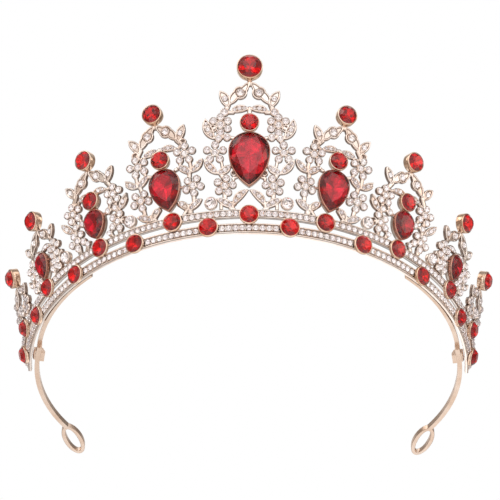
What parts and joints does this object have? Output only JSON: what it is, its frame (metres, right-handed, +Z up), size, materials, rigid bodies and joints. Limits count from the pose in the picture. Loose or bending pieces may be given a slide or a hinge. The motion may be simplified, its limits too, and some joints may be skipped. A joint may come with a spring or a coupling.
{
  "type": "tiara",
  "caption": "Open tiara of leaf and flower crests set with red and clear crystals on a double rail, with two springy headband arms that end in ribbon loops.",
  "frame": {"origin": "at the front centre of the circle that the two headband arms follow, in the plane the tiara stands on", "axes": "+Z up, the way the crests point; -Y is the front, where the wearer faces; +X is the right side seen from the front"},
  "size_m": [0.1692, 0.1446, 0.0612],
  "materials": {
    "crest_metal": "cast alloy with a pale rose gold plating, bright on the rims and darker in the recesses",
    "rail_metal": "polished pale rose gold plating with fine milled walls",
    "cup_metal": "polished rose gold plated cups and bezels",
    "headband_metal": "smooth rose gold plated spring strip with fine rolling marks",
    "solder": "soft solder, slightly dull",
    "red_round_crystal": "faceted light red crystal with a foiled back",
    "crimson_pear_crystal": "faceted deep crimson crystal with a large table and a foiled back",
    "clear_crystal": "clear faceted rhinestone with a silver foiled back"
  },
  "bodies": {
    "root": {"centre_crest": "crest_metal", "centre_crest_rhinestones": "clear_crystal", "centre_finial_crystal": "red_round_crystal", "centre_finial_cup": "cup_metal", "centre_pear_bezel": "cup_metal", "centre_pear_crystal": "crimson_pear_crystal", "clear_crystal_cups": "cup_metal", "clear_crystals": "clear_crystal", "inner_pear_bezels": "cup_metal", "inner_pear_crystals": "crimson_pear_crystal", "left_crest_1": "crest_metal", "left_crest_1_rhinestones": "clear_crystal", "left_crest_2": "crest_metal", "left_crest_2_rhinestones": "clear_crystal", "left_crest_3": "crest_metal", "left_crest_3_rhinestones": "clear_crystal", "left_crest_4": "crest_metal", "left_crest_4_rhinestones": "clear_crystal", "left_crimp_tab": "headband_metal", "left_headband_arm": "headband_metal", "lower_rail": "rail_metal", "lower_rail_crystals": "red_round_crystal", "lower_rail_cups": "cup_metal", "lower_rail_rhinestones": "clear_crystal", "middle_pear_bezels": "cup_metal", "middle_pear_crystals": "crimson_pear_crystal", "outer_pear_bezels": "cup_metal", "outer_pear_crystals": "crimson_pear_crystal", "right_crest_1": "crest_metal", "right_crest_1_rhinestones": "clear_crystal", "right_crest_2": "crest_metal", "right_crest_2_rhinestones": "clear_crystal", "right_crest_3": "crest_metal", "right_crest_3_rhinestones": "clear_crystal", "right_crest_4": "crest_metal", "right_crest_4_rhinestones": "clear_crystal", "right_crimp_tab": "headband_metal", "right_headband_arm": "headband_metal", "side_finial_crystals": "red_round_crystal", "side_finial_cups": "cup_metal", "small_round_crystals": "red_round_crystal", "small_round_cups": "cup_metal", "solder_seams": "solder", "upper_rail": "rail_metal", "upper_rail_crystals": "red_round_crystal", "upper_rail_cups": "cup_metal", "upper_rail_rhinestones": "clear_crystal"}
  },
  "joints": []
}
